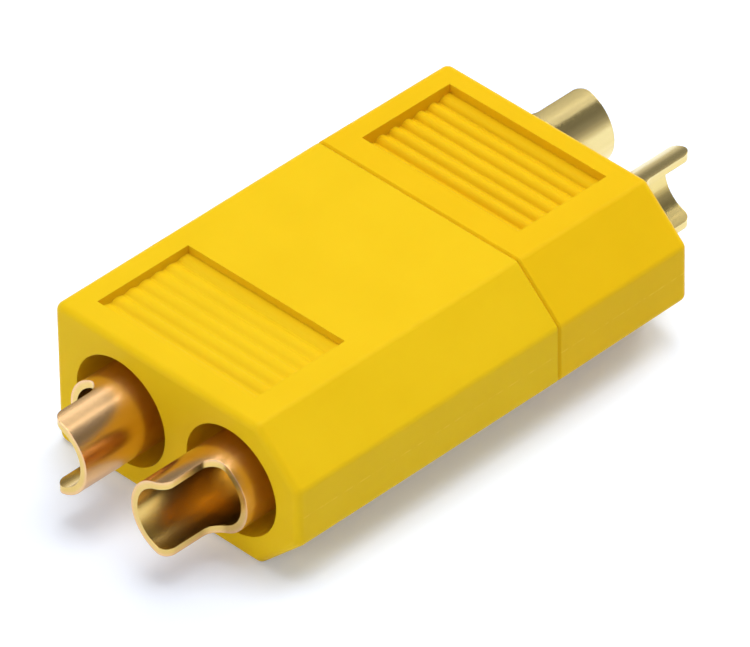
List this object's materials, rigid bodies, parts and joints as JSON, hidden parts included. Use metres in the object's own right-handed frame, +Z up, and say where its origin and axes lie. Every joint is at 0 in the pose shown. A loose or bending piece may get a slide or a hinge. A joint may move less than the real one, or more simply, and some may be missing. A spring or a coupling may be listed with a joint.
{
  "type": "power connector pair",
  "caption": "Mated power connector, keyed by bevelled corners, with ribbed recesses on its broad faces and open solder cups at each end; the plug half pulls off along its length.",
  "frame": {"origin": "middle of the seam between the two halves, on the underside that the connector rests on", "axes": "+Z up; Y along the way the halves plug together, with the shroud half at -Y and the plug half at +Y; X across the two contacts, with the bevelled corners at +X"},
  "size_m": [0.0158, 0.0345, 0.0081],
  "materials": {
    "yellow_nylon": "satin moulded nylon",
    "pin_plating": "gold-plated turned brass",
    "socket_plating": "gold-plated turned brass"
  },
  "bodies": {
    "shroud_half": {"shroud_housing": "yellow_nylon", "positive_pin": "pin_plating", "negative_pin": "pin_plating"},
    "plug_half": {"plug_housing": "yellow_nylon", "positive_socket": "socket_plating", "negative_socket": "socket_plating"}
  },
  "joints": [
    {"name": "unplug", "type": "slide", "parent": "shroud_half", "child": "plug_half", "axis": [0, 1, 0], "range_m": [0, 0.008]}
  ]
}
